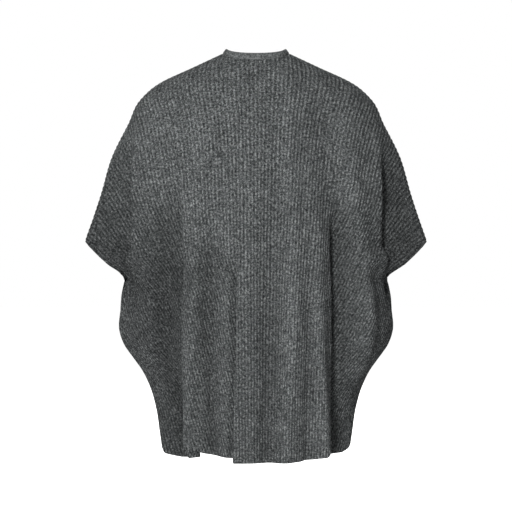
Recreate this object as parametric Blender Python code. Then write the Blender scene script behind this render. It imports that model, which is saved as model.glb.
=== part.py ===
"""Knitted poncho sweater, as worn: back, front and neckband, hollow and open at neck, cuffs and hem.

Metres, +Z up. The wearer faces -Y, and the wearer's left is +X. The origin lies between the shoulders, level
with the base of the neckband, where the shoulder line meets the neck and the garment hangs from the wearer.

Each panel is a wall of rib knit. Its shape is a stack of level sections. Each is a half-ellipse from the
centre line out to the side, carrying soft folds, and pleats in which the cloth doubles back under itself.
A place on a section is its girth, the distance along the cloth from the centre line.
"""
import math
from functools import partial

import bmesh
import bpy
import numpy as np

# ---- driving sizes ----
WALL = 0.003             # thickness of the rib knit
SEAM_GAP = 0.0003        # between sewn pieces
NECK_TOP = 0.006         # height of the neck's side points
NECK_HALF = 0.066        # from the centre to the neck's side points
BACK_NECK_DROP = 0.017   # how far the neck edge dips at centre back
FRONT_NECK_DROP = 0.170  # how far it dips at centre front
TIP_HALF = 0.343         # from the centre to the outer end of a cuff
TIP_HEIGHT = -0.370
UNDERARM_HALF = 0.266    # section half width where cuff, side seam and both panels meet
UNDERARM_HEIGHT = -0.440
CUFF_REACH = 0.068       # how far each panel's cuff edge bows away from the seam line
HEM_LOW = -0.797         # lowest height of the hem
BAND_HEIGHT = 0.0125     # width of the neckband
BEND = 0.011             # cloth length of each turn of a pleat
LEAST_STRIP = 0.004      # shortest stretch between the two turns of a pleat
WIDEST_FOLD = 0.96       # below the underarm, pleats start within this share of a section's half width
FREE_LIMIT = 10          # what is added to it above the arm, where no limit is needed
ABOVE_ARM = 0.05         # the height above the underarm over which it is added
DRAWN_FROM = 0.62        # share of a section's half width beyond which its side is drawn to the seam
SIDE_FADE = 0.08         # soft folds die out where the sine of the angle comes this close to 1
SEAM_FADE = 0.12         # share of the girth over which folds and pleats die out beside a seam
SHIFT_FADE = 0.25        # share of the panel over which their sideways part dies out
VALLEY_FROM = 0.78       # share of the girth beyond which the cloth sinks towards the side seam
FOLD_RISE = (0.08, 0.10)     # a soft fold begins this far above its start, and is full after this much height
BAND_UPRIGHT = 0.05      # the neckband turns upright over this height below its base
BAND_LEAN = 0.70         # how far it leans in at the neck's sides, per metre up

GREY = (0.092, 0.097, 0.097)     # heathered wool, from far off
WOOL_ROUGHNESS = 0.95

# ---- half widths at the seams: the shoulder and over-arm line, then the side seam ----
# columns: height, half width
TOP_LINE = [
    (0.006, 0.066),
    (-0.022, 0.126),
    (-0.054, 0.194),
    (-0.086, 0.231),
    (-0.134, 0.255),
    (-0.198, 0.287),
    (-0.278, 0.311),
    (-0.326, 0.327),
    (-0.370, 0.343),
]
SIDE_SEAM = [
    (-0.440, 0.266),
    (-0.470, 0.278),
    (-0.505, 0.282),
    (-0.545, 0.282),
    (-0.575, 0.269),
    (-0.600, 0.249),
    (-0.625, 0.229),
    (-0.660, 0.210),
    (-0.700, 0.198),
    (-0.750, 0.191),
    (-0.800, 0.185),
]
# ---- half widths of the sections, before their sides are drawn out to the cuff or in to the underarm ----
# columns: height, half width
BODY_LINE = [
    (0.006, 0.066),
    (-0.022, 0.126),
    (-0.054, 0.194),
    (-0.086, 0.231),
    (-0.134, 0.255),
    (-0.198, 0.285),
    (-0.278, 0.305),
    (-0.326, 0.312),
    (-0.370, 0.312),
    (-0.410, 0.304),
    (-0.440, 0.296),
    (-0.470, 0.289),
    (-0.505, 0.284),
    (-0.545, 0.282),
    (-0.575, 0.269),
    (-0.600, 0.249),
    (-0.625, 0.229),
    (-0.660, 0.210),
    (-0.700, 0.198),
    (-0.750, 0.191),
    (-0.800, 0.185),
]
# ---- how far the side seam sinks between the two panels below the arm ----
# columns: height, depth
SEAM_VALLEY = [
    (-0.360, 0.000),
    (-0.400, 0.001),
    (-0.440, 0.006),
    (-0.470, 0.011),
    (-0.500, 0.012),
    (-0.550, 0.009),
    (-0.600, 0.004),
    (-0.650, 0.000),
    (-0.800, 0.000),
]
# ---- depth of the sections at the centre line, and how far their shoulders are filled out ----
# columns: height, back depth, front depth, fullness
DEPTHS = [
    (0.006, 0.048, 0.051, 0.00),
    (-0.022, 0.062, 0.064, 0.00),
    (-0.054, 0.077, 0.078, 0.00),
    (-0.100, 0.095, 0.093, 0.00),
    (-0.180, 0.113, 0.109, 0.00),
    (-0.300, 0.121, 0.117, 0.00),
    (-0.400, 0.124, 0.119, 0.10),
    (-0.450, 0.125, 0.120, 0.34),
    (-0.550, 0.128, 0.121, 0.30),
    (-0.650, 0.130, 0.121, 0.30),
    (-0.800, 0.131, 0.120, 0.30),
]
# ---- soft folds: a ridge has a positive height, a valley a negative one ----
# columns: panel, starts at, across at start, at -0.52, at the hem, width,
# height at start, at -0.52, at the hem
FOLDS = [
    ("back", -0.200, 0.174, 0.186, 0.170, 0.026, -0.003, -0.019, -0.016),
    ("back", -0.240, 0.110, 0.124, 0.142, 0.015, 0.002, 0.013, 0.014),
    ("back", -0.300, 0.086, 0.090, 0.086, 0.013, -0.002, -0.011, -0.013),
    ("back", -0.280, 0.050, 0.055, 0.060, 0.014, 0.002, 0.011, 0.006),
    ("back", -0.160, -0.043, -0.026, -0.030, 0.026, -0.002, -0.016, -0.018),
    ("back", -0.130, -0.069, -0.070, -0.055, 0.019, 0.003, 0.014, 0.013),
    ("back", -0.400, -0.103, -0.103, -0.100, 0.010, 0.000, -0.006, -0.010),
    ("back", -0.300, -0.122, -0.125, -0.136, 0.012, 0.002, 0.010, 0.014),
    ("back", -0.130, -0.135, -0.160, -0.166, 0.026, -0.006, -0.021, -0.016),
    ("back", -0.150, -0.180, -0.224, -0.190, 0.020, 0.005, 0.016, 0.003),
    ("front", -0.180, 0.060, 0.052, 0.048, 0.022, 0.002, 0.014, 0.013),
    ("front", -0.260, 0.020, 0.012, 0.006, 0.022, 0.000, -0.013, -0.016),
    ("front", -0.220, -0.034, -0.036, -0.044, 0.020, 0.000, 0.013, 0.016),
    ("front", -0.200, -0.092, -0.084, -0.080, 0.018, 0.000, -0.011, -0.010),
    ("front", -0.220, 0.098, 0.092, 0.094, 0.016, 0.000, -0.011, -0.008),
    ("front", -0.150, 0.168, 0.188, 0.172, 0.026, -0.005, -0.019, -0.014),
    ("front", -0.170, -0.172, -0.196, -0.174, 0.024, -0.005, -0.018, -0.016),
]
# ---- pleats: the cloth on the centre side lies over the cloth beyond, and hides a doubled strip ----
# columns: name, panel, side, starts at, full turn at, ends at,
# across at start, at -0.52, at the hem, strip at the hem
PLEATS = [
    ("centre crease", "back", 1, -0.340, -0.520, None, 0.024, 0.034, 0.041, 0.034),
    ("side fold", "back", 1, -0.230, -0.440, None, 0.132, 0.144, 0.153, 0.034),
    ("side fold", "back", -1, -0.250, -0.470, None, 0.136, 0.146, 0.155, 0.036),
    ("side fold", "front", 1, -0.280, -0.560, None, 0.132, 0.140, 0.146, 0.024),
    ("side fold", "front", -1, -0.260, -0.520, None, 0.130, 0.142, 0.150, 0.028),
    ("arm fold", "back", 1, -0.105, -0.330, -0.480, 0.234, 0.263, 0.178, 0.010),
    ("arm fold", "back", -1, -0.130, -0.350, -0.480, 0.238, 0.263, 0.178, 0.010),
    ("arm fold", "front", 1, -0.140, -0.380, -0.480, 0.238, 0.257, 0.176, 0.008),
    ("arm fold", "front", -1, -0.120, -0.360, -0.480, 0.236, 0.257, 0.176, 0.008),
]
# ---- height of the hem along each half, by share of its girth ----
# columns: share of the half girth, back left, back right, front left, front right
HEM = [
    (0.00, -0.797, -0.797, -0.790, -0.790),
    (0.12, -0.797, -0.797, -0.791, -0.790),
    (0.25, -0.790, -0.794, -0.788, -0.788),
    (0.40, -0.785, -0.788, -0.784, -0.783),
    (0.53, -0.773, -0.772, -0.775, -0.774),
    (0.66, -0.787, -0.785, -0.786, -0.786),
    (0.80, -0.793, -0.789, -0.789, -0.788),
    (0.90, -0.795, -0.786, -0.788, -0.783),
    (0.96, -0.790, -0.778, -0.785, -0.776),
    (1.00, -0.776, -0.762, -0.776, -0.762),
]
MIDDLE_HEIGHT = -0.52


def lookup(height, rows, column):
    """Smooth curve through one column of a table whose first column is a height, top row first."""
    knots = np.array([-row[0] for row in rows])
    values = np.array([row[column] for row in rows])
    slopes = np.gradient(values, knots)
    place = np.clip(-np.asarray(height, float), knots[0], knots[-1])
    cell = np.clip(np.searchsorted(knots, place) - 1, 0, len(knots) - 2)
    span = knots[cell + 1] - knots[cell]
    t = (place - knots[cell]) / span
    rise = (2 * t**3 - 3 * t**2 + 1) * values[cell] + (3 * t**2 - 2 * t**3) * values[cell + 1]
    return rise + span * ((t**3 - 2 * t**2 + t) * slopes[cell] + (t**3 - t**2) * slopes[cell + 1])


def ease(value):
    """Smooth step from 0 to 1."""
    t = np.clip(value, 0.0, 1.0)
    return t * t * (3 - 2 * t)


def cuff_share(height):
    """How far down the cuff edge a height lies: 0 at the tip, 1 at the underarm."""
    return np.clip((TIP_HEIGHT - height) / (TIP_HEIGHT - UNDERARM_HEIGHT), 0.0, 1.0)


def cuff_bow(height):
    """How far the cuff edge stands off the seam plane at a height."""
    share = cuff_share(height)
    return CUFF_REACH * np.sin(math.pi * share)


def seam_half(height):
    """Distance from the centre line to the over-arm line, the cuff edge or the side seam."""
    cuff_half = TIP_HALF + (UNDERARM_HALF - TIP_HALF) * cuff_share(height)
    above = np.where(height < TIP_HEIGHT, cuff_half, lookup(height, TOP_LINE, 1))
    return np.where(height < UNDERARM_HEIGHT, lookup(height, SIDE_SEAM, 1), above)


def section(panel, height):
    """Half width, depth, fullness, quarter girth and the angle where the panel ends, at each height."""
    height = np.asarray(height, float)
    depth = lookup(height, DEPTHS, 1 if panel == "back" else 2)
    fullness = lookup(height, DEPTHS, 3)
    bow = cuff_bow(height) / depth
    end_sine = np.ones_like(depth)
    for _ in range(4):
        end_sine = np.sqrt(1 - (bow / (1 + fullness * end_sine**2)) ** 2)
    half = lookup(height, BODY_LINE, 1)
    ratio = ((half - depth) / (half + depth)) ** 2
    girth = math.pi / 4 * (half + depth) * (1 + 3 * ratio / (10 + np.sqrt(4 - 3 * ratio)))
    return half, depth, fullness, girth, np.arcsin(end_sine)


def angle_at(share, half, girth):
    """Angle on the section at a share of its quarter girth, near enough evenly spaced along the cloth."""
    first = girth / half
    return first * share + (math.pi / 2 - first) * share**3


def share_of(angle, half, girth):
    """The reverse of angle_at, by Newton's method."""
    first = girth / half
    share = angle * 2 / math.pi
    for _ in range(6):
        error = first * share + (math.pi / 2 - first) * share**3 - angle
        share = share - error / (first + 3 * (math.pi / 2 - first) * share**2)
    return share


def across(height, start, middle, hem, start_height):
    """Distance from the centre line of a fold that passes through three places."""
    above = (height - MIDDLE_HEIGHT) / (start_height - MIDDLE_HEIGHT)
    below = (MIDDLE_HEIGHT - height) / (MIDDLE_HEIGHT - HEM_LOW)
    upper = middle + (start - middle) * ease(above)
    lower = middle + (hem - middle) * ease(below)
    return np.where(height > MIDDLE_HEIGHT, upper, lower)


def pleat_rows(panel, side):
    """A panel's pleats on one side, from the centre line outward."""
    rows = [row for row in PLEATS if row[1] == panel and row[2] == side]
    return sorted(rows, key=lambda row: row[7])


def pleat_state(row, height):
    """How far a pleat's turns have closed, from 0 to 1, and the length of its hidden strip."""
    starts, closes, ends, strip = row[3], row[4], row[5], row[9]
    closed = ease((starts - height) / (starts - closes))
    grown = np.clip((closes - height) / (closes - HEM_LOW), 0.0, 1.0)
    if ends is not None:
        opens = ease((height - ends) / (UNDERARM_HEIGHT - ends))
        closed = closed * opens
        grown = ease((starts - height) / (starts - UNDERARM_HEIGHT)) * opens**2
    return np.clip(closed, 1e-4, 1.0), LEAST_STRIP + strip * grown


def pleat_path(distance, closed, strip):
    """Travel along the section, and drop below it, at a distance past a pleat's start."""
    turn = math.pi * closed
    first = np.clip(distance / BEND, 0.0, 1.0)
    flat = np.clip(distance - BEND, 0.0, strip)
    last = np.clip((distance - BEND - strip) / BEND, 0.0, 1.0)
    left = turn * (1 - last)
    travel = BEND * (np.sin(turn * first) + np.sin(turn) - np.sin(left)) / turn + flat * np.cos(turn)
    drop = BEND * (1 - np.cos(turn * first) + np.cos(left) - np.cos(turn)) / turn + flat * np.sin(turn)
    return travel - (BEND * first + flat + BEND * last), drop


def undrawn(wanted, half, end_width, height):
    """Width on the plain section of a place that ends up the wanted distance out once the side is drawn."""
    start = DRAWN_FROM * half
    span = end_width - start
    past = np.maximum(wanted - start, 0.0)
    pull = seam_half(height) - end_width
    root = np.sqrt(np.maximum(span**2 + 4 * pull * past, 0.0))
    return np.minimum(wanted, start) + 2 * past / (span + root) * span


def pleat_starts(panel, side, height):
    """Girth at which each pleat of a side begins, with its state, worked out from the centre outward."""
    half, _, _, girth, end_angle = section(panel, height)
    hidden = np.zeros_like(half)
    found = []
    for row in pleat_rows(panel, side):
        free = ease((height - UNDERARM_HEIGHT) / ABOVE_ARM)
        widest = half * (WIDEST_FOLD + FREE_LIMIT * free)
        wanted = across(height, row[6], row[7], row[8], row[3])
        edge = np.minimum(undrawn(wanted, half, half * np.sin(end_angle), height), widest)
        angle = np.arcsin(np.clip(edge / half, 0.0, 1.0))
        start = share_of(angle, half, girth) * girth + hidden + np.maximum(edge - half, 0.0)
        closed, strip = pleat_state(row, height)
        found.append((start, closed, strip))
        hidden = hidden - pleat_path(2 * BEND + strip, closed, strip)[0]
    return found, hidden


def end_girth(panel, side, height):
    """Girth of the half panel at a height: from the centre line to the seam or the cuff edge."""
    half, _, _, girth, end_angle = section(panel, height)
    hidden = pleat_starts(panel, side, height)[1]
    return share_of(end_angle, half, girth) * girth + hidden


def place(panel, side, distance, height):
    """Point of a panel's outer face at a distance along the cloth from the centre line and a height."""
    distance = np.asarray(distance, float)
    height = np.asarray(height, float)
    half, depth, fullness, girth, end_angle = section(panel, height)
    travel = distance.copy()
    drop = np.zeros_like(travel)
    for start, closed, strip in pleat_starts(panel, side, height)[0]:
        shift, fall = pleat_path(np.maximum(distance - start, 0.0), closed, strip)
        travel = travel + shift
        drop = drop + fall
    share = travel / girth
    angle = angle_at(share, half, girth)
    sine, cosine = np.sin(angle), np.cos(angle)
    width = half * sine
    reach = depth * cosine * (1 + fullness * sine**2)
    run = half * cosine
    fall_away = depth * sine * (1 + fullness * sine**2) - 2 * fullness * depth * sine * cosine**2
    length = np.sqrt(run**2 + fall_away**2)
    lift = np.zeros_like(travel)
    for row in FOLDS:
        if row[0] == panel:
            centre = across(height, row[2], row[3], row[4], row[1])
            rise = np.interp(-height, [-row[1], -MIDDLE_HEIGHT, -HEM_LOW], row[6:9])
            rise = rise * ease((row[1] + FOLD_RISE[0] - height) / FOLD_RISE[1])
            lift = lift + rise * np.exp(-(((side * width - centre) / row[5]) ** 2))
    lift = (lift * ease((1 - sine) / SIDE_FADE) - drop) * ease((1 - share) / SEAM_FADE)
    sideways = lift * ease((1 - share / share_of(end_angle, half, girth)) / SHIFT_FADE)
    sink = lookup(height, SEAM_VALLEY, 1) * ease((share - VALLEY_FROM) / (1 - VALLEY_FROM))
    end_width = half * np.sin(end_angle)
    drawn = np.clip((width - DRAWN_FROM * half) / (end_width - DRAWN_FROM * half), 0.0, 1.0) ** 2
    x = width + (seam_half(height) - end_width) * drawn + (sideways - sink) * fall_away / length
    y = reach + (lift - sink) * run / length
    facing = 1 if panel == "back" else -1
    return np.stack([side * x, facing * y, height], axis=-1)


def neck_height(panel, half):
    """Height of the neck edge at a distance from the centre line."""
    drop = BACK_NECK_DROP if panel == "back" else FRONT_NECK_DROP
    return NECK_TOP - drop * np.sqrt(np.maximum(0.0, 1 - (half / NECK_HALF) ** 2))


def hem_height(panel, side, share):
    """Height of the hem at a share of the half girth."""
    column = 1 + (0 if panel == "back" else 2) + (0 if side > 0 else 1)
    return np.interp(share, [row[0] for row in HEM], [row[column] for row in HEM])


# ---- lines that run from the neck and shoulder down to the hem, where the panel's facets meet ----
# For each half panel, the lines from the centre to its first pleat, then between pleats in order: how many
# there are, or, in the span that holds the side of the neck, their distances from the centre and how many
# lie beyond.
FRONT_NECK_LINES = (0.024, 0.039, 0.051, 0.059, 0.0635, 0.0655, NECK_HALF)
LINES = {
    ("back", 1): (1, ((0.057, NECK_HALF), 3), 4),
    ("back", -1): (((0.022, 0.044, 0.059, NECK_HALF), 3), 4),
    ("front", 1): ((FRONT_NECK_LINES, 2), 3),
    ("front", -1): ((FRONT_NECK_LINES, 2), 3),
}
ARM_STARTS = (-0.145, -0.190, -0.240, -0.290, -0.332)   # where the sleeve's lines leave the over-arm line
ARM_FOOT = -0.480        # height by which they have gathered into the side
ROWS = 18                # rows of facets down a panel
ROW_SPREAD = 1.25        # above 1, the rows lie closer together near the top
FINE = 160               # steps along a line when it is measured
FINE_SPREAD = 1.6        # above 1, those steps are shorter near the top
STEP = 0.0003            # a short way along the cloth, over which its direction is taken
TOUCH = 0.00001          # places closer than this count as one
HALVINGS = 50            # times a height is halved in on, to find where a line starts
COPY_RADIUS = 0.98       # radius of a flat ring's copy, before both are put in place
COPY_DEPTH = 0.01        # depth of a flat grid's copy below it


def after_pleat(panel, side, number, height):
    """Girth where a pleat ends, or the centre line if there is none."""
    if number < 0:
        return np.zeros_like(np.asarray(height, float))
    start, _, strip = pleat_starts(panel, side, height)[0][number]
    return start + 2 * BEND + strip


def at_distance(panel, side, number, distance):
    """A line that keeps one distance from the centre line, in the span before a pleat."""

    def girth_at(height):
        half, _, _, girth, _ = section(panel, height)
        hidden = np.zeros_like(half)
        for _, closed, strip in pleat_starts(panel, side, height)[0][:number]:
            hidden = hidden - pleat_path(2 * BEND + strip, closed, strip)[0]
        angle = np.arcsin(np.clip(distance / half, 0.0, 1.0))
        return share_of(angle, half, girth) * girth + hidden + np.maximum(distance - half, 0.0)

    return girth_at


def between(panel, side, near, number, share):
    """A line part of the way from another line to a pleat."""

    def girth_at(height):
        far = pleat_starts(panel, side, height)[0][number][0]
        return near(height) + (far - near(height)) * share

    return girth_at


def in_pleat(panel, side, number, bends, strips):
    """A line that lies a number of bends and strips past a pleat's start."""

    def girth_at(height):
        start, _, strip = pleat_starts(panel, side, height)[0][number]
        return start + bends * BEND + strips * strip

    return girth_at


def down_sleeve(panel, side, top, foot_share):
    """A line that leaves the over-arm line at a height and gathers into the side below the arm."""

    def girth_at(height):
        near = after_pleat(panel, side, -1 + len(pleat_rows(panel, side)), height)
        share = foot_share + (1 - foot_share) * np.clip((height - ARM_FOOT) / (top - ARM_FOOT), 0.0, 1.0)
        return near + (end_girth(panel, side, height) - near) * share

    return girth_at


def half_lines(panel, side):
    """Every line of a half panel from the centre outward, with the height where it starts if that is set."""
    lines = []
    for number, count in enumerate(LINES[(panel, side)]):
        near = partial(after_pleat, panel, side, number - 1)
        if not isinstance(count, int):
            distances, count = count
            neck_lines = [at_distance(panel, side, number, distance) for distance in distances]
            lines += [(line, None) for line in neck_lines]
            near = neck_lines[-1]
        for step in range(1, count + 1):
            lines.append((between(panel, side, near, number, step / (count + 1)), None))
        for bends, strips in ((0, 0), (0.5, 0), (1, 0), (1, 1), (1.5, 1), (2, 1)):
            lines.append((in_pleat(panel, side, number, bends, strips), None))
    for number, top in enumerate(ARM_STARTS):
        foot_share = (number + 1) / (len(ARM_STARTS) + 1)
        lines.append((down_sleeve(panel, side, top, foot_share), top))
    lines.append((partial(end_girth, panel, side), TIP_HEIGHT))
    return lines


def line_top(panel, side, girth_at):
    """Height at which a line meets the neck edge or the top line, by halving, and whether it is the neck."""
    low, high = TIP_HEIGHT, NECK_TOP
    for _ in range(HALVINGS):
        middle = np.array((low + high) / 2)
        girth = girth_at(middle)
        inside = girth < end_girth(panel, side, middle)
        half = abs(float(place(panel, side, girth, middle)[0]))
        if inside and half < NECK_HALF:
            inside = middle < neck_height(panel, half)
        low, high = (float(middle), high) if inside else (low, float(middle))
    girth = girth_at(np.array(low))
    return low, float(end_girth(panel, side, np.array(low)) - girth) > STEP


def draw_line(panel, side, girth_at, top):
    """Girth and height of evenly spaced points down a line, and whether it starts on the neck edge."""
    on_neck = False
    if top is None:
        top, on_neck = line_top(panel, side, girth_at)
    share = float(girth_at(np.array(HEM_LOW)) / end_girth(panel, side, np.array(HEM_LOW)))
    fall = float(hem_height(panel, side, share)) - top
    heights = top + fall * np.linspace(0, 1, FINE) ** FINE_SPREAD
    points = place(panel, side, np.minimum(girth_at(heights), end_girth(panel, side, heights)), heights)
    lengths = np.concatenate([[0.0], np.cumsum(np.linalg.norm(np.diff(points, axis=0), axis=1))])
    heights = np.interp(lengths[-1] * np.linspace(0, 1, ROWS + 1) ** ROW_SPREAD, lengths, heights)
    girths = np.minimum(girth_at(heights), end_girth(panel, side, heights))
    if not on_neck:
        girths[0] = float(end_girth(panel, side, heights[0]))
    return girths, heights, on_neck


def unit(vectors):
    """The same vectors, each 1 long."""
    return vectors / np.linalg.norm(vectors, axis=-1, keepdims=True)


def outward(panel, side, girths, heights):
    """Outward unit normal of a panel at each point, the same for both panels on their shared seams."""
    here = place(panel, side, girths, heights)
    along = here - place(panel, side, girths - STEP, heights)
    up = here - place(panel, side, girths, heights - STEP)
    normals = np.cross(up, along) * side * (1 if panel == "back" else -1)
    ends = end_girth(panel, side, heights)
    below = place(panel, side, end_girth(panel, side, heights - STEP), heights - STEP)
    rise = place(panel, side, ends, heights) - below
    level = np.stack([rise[..., 2] * side, np.zeros_like(heights), -rise[..., 0] * side], axis=-1)
    beside_cuff = (heights < TIP_HEIGHT - STEP) & (heights > UNDERARM_HEIGHT + STEP)
    on_seam = (girths > ends - TOUCH) & ~beside_cuff
    return np.where(on_seam[..., None], unit(level), unit(normals))


def panel_lines(panel):
    """All the lines of a panel, from the wearer's right to the left."""
    right, left = [], []
    for side, half in ((-1, right), (1, left)):
        for girth_at, top in half_lines(panel, side):
            half.append((side,) + draw_line(panel, side, girth_at, top))
    _, heights, _ = draw_line(panel, 1, lambda height: np.full_like(height, STEP), None)
    centre = (1, np.zeros_like(heights), heights, True)
    return right[::-1] + [centre] + left


def panel_faces(panel):
    """Outer and inner faces of a panel as grids of points, and which lines start on the neck edge."""
    outer, inner, on_neck = [], [], []
    for side, girths, heights, starts_on_neck in panel_lines(panel):
        points = place(panel, side, girths, heights)
        points[:, 1] += SEAM_GAP / 2 if panel == "back" else -SEAM_GAP / 2
        outer.append(points)
        inner.append(points - outward(panel, side, girths, heights) * WALL)
        on_neck.append(starts_on_neck or abs(heights[0] - NECK_TOP) < TOUCH)
    return np.array(outer), np.array(inner), np.array(on_neck)


def band_faces(back, front):
    """Outer and inner faces of the neckband, made from the neck edges of both panels, moved out."""
    back_outer, back_inner, back_neck = back
    front_outer, front_inner, front_neck = front
    front_pick = np.flatnonzero(front_neck)[1:-1]
    outer = np.concatenate([back_outer[back_neck][::-1, 0], front_outer[front_pick, 0]])
    inner = np.concatenate([back_inner[back_neck][::-1, 0], front_inner[front_pick, 0]])
    ends = np.abs(outer[:, 1]) < SEAM_GAP
    outer[ends, 1] = 0
    inner[ends, 1] = 0
    edge = np.roll(outer, -1, axis=0) - np.roll(outer, 1, axis=0)
    rise = unit(np.cross(outer - inner, edge))
    upright = ease(outer[:, 2] / BAND_UPRIGHT + 1)[:, None]
    level = np.zeros(len(outer))
    lean = np.stack([-BAND_LEAN * outer[:, 0] / NECK_HALF, level, level + 1], axis=1)
    rise = unit(rise * (1 - upright) + lean * upright)
    wall = unit(np.cross(edge, rise)) * WALL
    foot, top = rise * SEAM_GAP, rise * (SEAM_GAP + BAND_HEIGHT)
    band_outer = np.stack([outer + foot, outer + top], axis=1)
    band_inner = np.stack([inner + foot, outer + top - wall], axis=1)
    return band_outer, band_inner


def flat_sheet(shape, count, rows, ring):
    """A flat grid, or an open ring if its lines join up, and the line and row of each of its points."""
    if ring:
        bmesh.ops.create_cone(shape, cap_ends=False, segments=count, radius1=1, radius2=1, depth=1)
    else:
        bmesh.ops.create_grid(shape, x_segments=count - 1, y_segments=rows - 1, size=1)
    line_of = shape.verts.layers.int.new("line")
    row_of = shape.verts.layers.int.new("row")
    for vertex in shape.verts:
        x, y, z = vertex.co
        if ring:
            vertex[line_of] = round(math.atan2(y, x) / math.tau * count) % count
            vertex[row_of] = round(z + 0.5)
        else:
            vertex[line_of] = round((x + 1) / 2 * (count - 1))
            vertex[row_of] = round((1 - y) / 2 * (rows - 1))
    return line_of, row_of


def build_wall(name, colour, outer, inner, ring=False):
    """A closed wall between two grids of points: a sheet and its copy, joined round the rim, then placed."""
    count, rows = outer.shape[:2]
    shape = bmesh.new()
    inside = shape.verts.layers.int.new("inside")
    line_of, row_of = flat_sheet(shape, count, rows, ring)
    whole = shape.verts[:] + shape.edges[:] + shape.faces[:]
    copied = bmesh.ops.duplicate(shape, geom=whole)["geom"]
    bmesh.ops.reverse_faces(shape, faces=[item for item in copied if isinstance(item, bmesh.types.BMFace)])
    for item in copied:
        if isinstance(item, bmesh.types.BMVert):
            item[inside] = 1
            x, y, z = item.co
            item.co = (x * COPY_RADIUS, y * COPY_RADIUS, z) if ring else (x, y, -COPY_DEPTH)
    for rim_row in ((0, rows - 1) if ring else (None,)):
        rim = [edge for edge in shape.edges if edge.is_boundary]
        if ring:
            rim = [edge for edge in rim if all(vertex[row_of] == rim_row for vertex in edge.verts)]
        bmesh.ops.bridge_loops(shape, edges=rim)
    for vertex in shape.verts:
        grid = inner if vertex[inside] else outer
        vertex.co = grid[vertex[line_of]][vertex[row_of]]
    bmesh.ops.recalc_face_normals(shape, faces=shape.faces[:])
    if shape.calc_volume(signed=True) < 0:
        bmesh.ops.reverse_faces(shape, faces=shape.faces[:])
    mesh = bpy.data.meshes.new(name)
    shape.to_mesh(mesh)
    shape.free()
    mesh.shade_smooth()
    mesh.materials.append(knit_material(name + " knit", colour))
    piece = bpy.data.objects.new(name, mesh)
    bpy.data.collections["poncho_sweater"].objects.link(piece)
    return piece


def knit_material(name, colour):
    """Matt wool with a plain colour."""
    material = bpy.data.materials.new(name)
    material.use_nodes = True
    shader = material.node_tree.nodes["Principled BSDF"]
    shader.inputs["Base Color"].default_value = (*colour, 1)
    shader.inputs["Roughness"].default_value = WOOL_ROUGHNESS
    shader.inputs["Metallic"].default_value = 0.0
    return material


def build():
    """The whole sweater."""
    for item in list(bpy.data.objects):
        bpy.data.objects.remove(item)
    collection = bpy.data.collections.new("poncho_sweater")
    bpy.context.scene.collection.children.link(collection)
    back = panel_faces("back")
    front = panel_faces("front")
    build_wall("back", GREY, back[0], back[1])
    build_wall("front", GREY, front[0], front[1])
    build_wall("neckband", GREY, *band_faces(back, front), ring=True)


build()
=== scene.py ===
"""Knitted poncho sweater: the looks of its back, front and neckband around the fixed frame."""
import math

import bmesh
import bpy
import numpy as np
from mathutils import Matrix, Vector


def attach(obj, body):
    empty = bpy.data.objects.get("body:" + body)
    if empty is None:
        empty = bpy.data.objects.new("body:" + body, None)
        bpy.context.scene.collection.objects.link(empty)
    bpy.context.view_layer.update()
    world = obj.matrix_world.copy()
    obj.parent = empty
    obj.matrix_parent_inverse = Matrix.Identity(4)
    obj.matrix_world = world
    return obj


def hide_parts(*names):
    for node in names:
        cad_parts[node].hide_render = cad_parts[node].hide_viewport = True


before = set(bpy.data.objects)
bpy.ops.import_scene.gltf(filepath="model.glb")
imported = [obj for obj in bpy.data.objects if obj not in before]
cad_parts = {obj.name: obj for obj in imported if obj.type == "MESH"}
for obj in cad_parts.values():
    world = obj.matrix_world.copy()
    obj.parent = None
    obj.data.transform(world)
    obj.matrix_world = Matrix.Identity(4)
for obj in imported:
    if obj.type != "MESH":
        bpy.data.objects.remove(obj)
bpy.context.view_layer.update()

# ---- back and front panels ----
# Each panel is one wide piece of chunky rib knit, cut in one with its half of both short dolman sleeves. It
# hangs in soft folds, with pleats where the cloth doubles back under itself. Its wales, the lines of ribs,
# start on the neck and over-arm line and run down to the hem, leaning in towards the pleats.
NECK_TOP = 0.006              # height of the neck's side points
NECK_HALF = 0.066             # from the centre to the neck's side points
NECK_DROPS = {"back": 0.017, "front": 0.170}
TIP_HALF = 0.343              # from the centre to the outer end of a cuff
TIP_HEIGHT = -0.370
UNDERARM_HALF = 0.266
UNDERARM_HEIGHT = -0.440
CUFF_REACH = 0.068            # how far each cuff edge bows away from the seam line
HEM_LOW = -0.797
MIDDLE_HEIGHT = -0.52
BEND = 0.011                  # cloth length of each turn of a pleat
LEAST_STRIP = 0.004
WIDEST_FOLD = 0.96            # most of a section's half width at which a pleat lies below the arm
ARM_FOLD_ROOM = 10            # so much more above it that the folds of the arm have no limit
ARM_FOLD_FADE = 0.05          # height over which that limit is lifted
OPEN_PLEAT = 1e-4             # closing of a pleat that is still flat
DRAWN_FROM = 0.62             # share of the half width beyond which a side is drawn to the seam
FOLD_LEAD = 0.08              # how far above its stated start a fold begins
FOLD_GROWTH = 0.10            # height over which it comes in
LIFT_FADE = 0.08              # share of the half width, at the side, over which soft folds fade
SIDE_FADE = 0.12              # share of the girth, at the side, over which soft folds and pleats both fade
SIDEWAYS_FADE = 0.25          # share of the girth over which they stop pushing the cloth sideways
VALLEY_FROM = 0.78            # share of the girth where the sinking to the side seam begins
VALLEY_SPAN = 0.22
CLOTH = 0.0030                # thickness of the knit
FOLD_RANGE = 0.040            # folds up to this high or deep change the painted shade
RIB_HEIGHT = 0.0006           # how far a rib stands above the middle of the cloth
SEAM_GAP = 0.0003

# columns: height, half width of the shoulder and over-arm line
TOP_LINE = [
    (0.006, 0.066),
    (-0.022, 0.126),
    (-0.054, 0.194),
    (-0.086, 0.231),
    (-0.134, 0.255),
    (-0.198, 0.287),
    (-0.278, 0.311),
    (-0.326, 0.327),
    (-0.370, 0.343),
]
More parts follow.
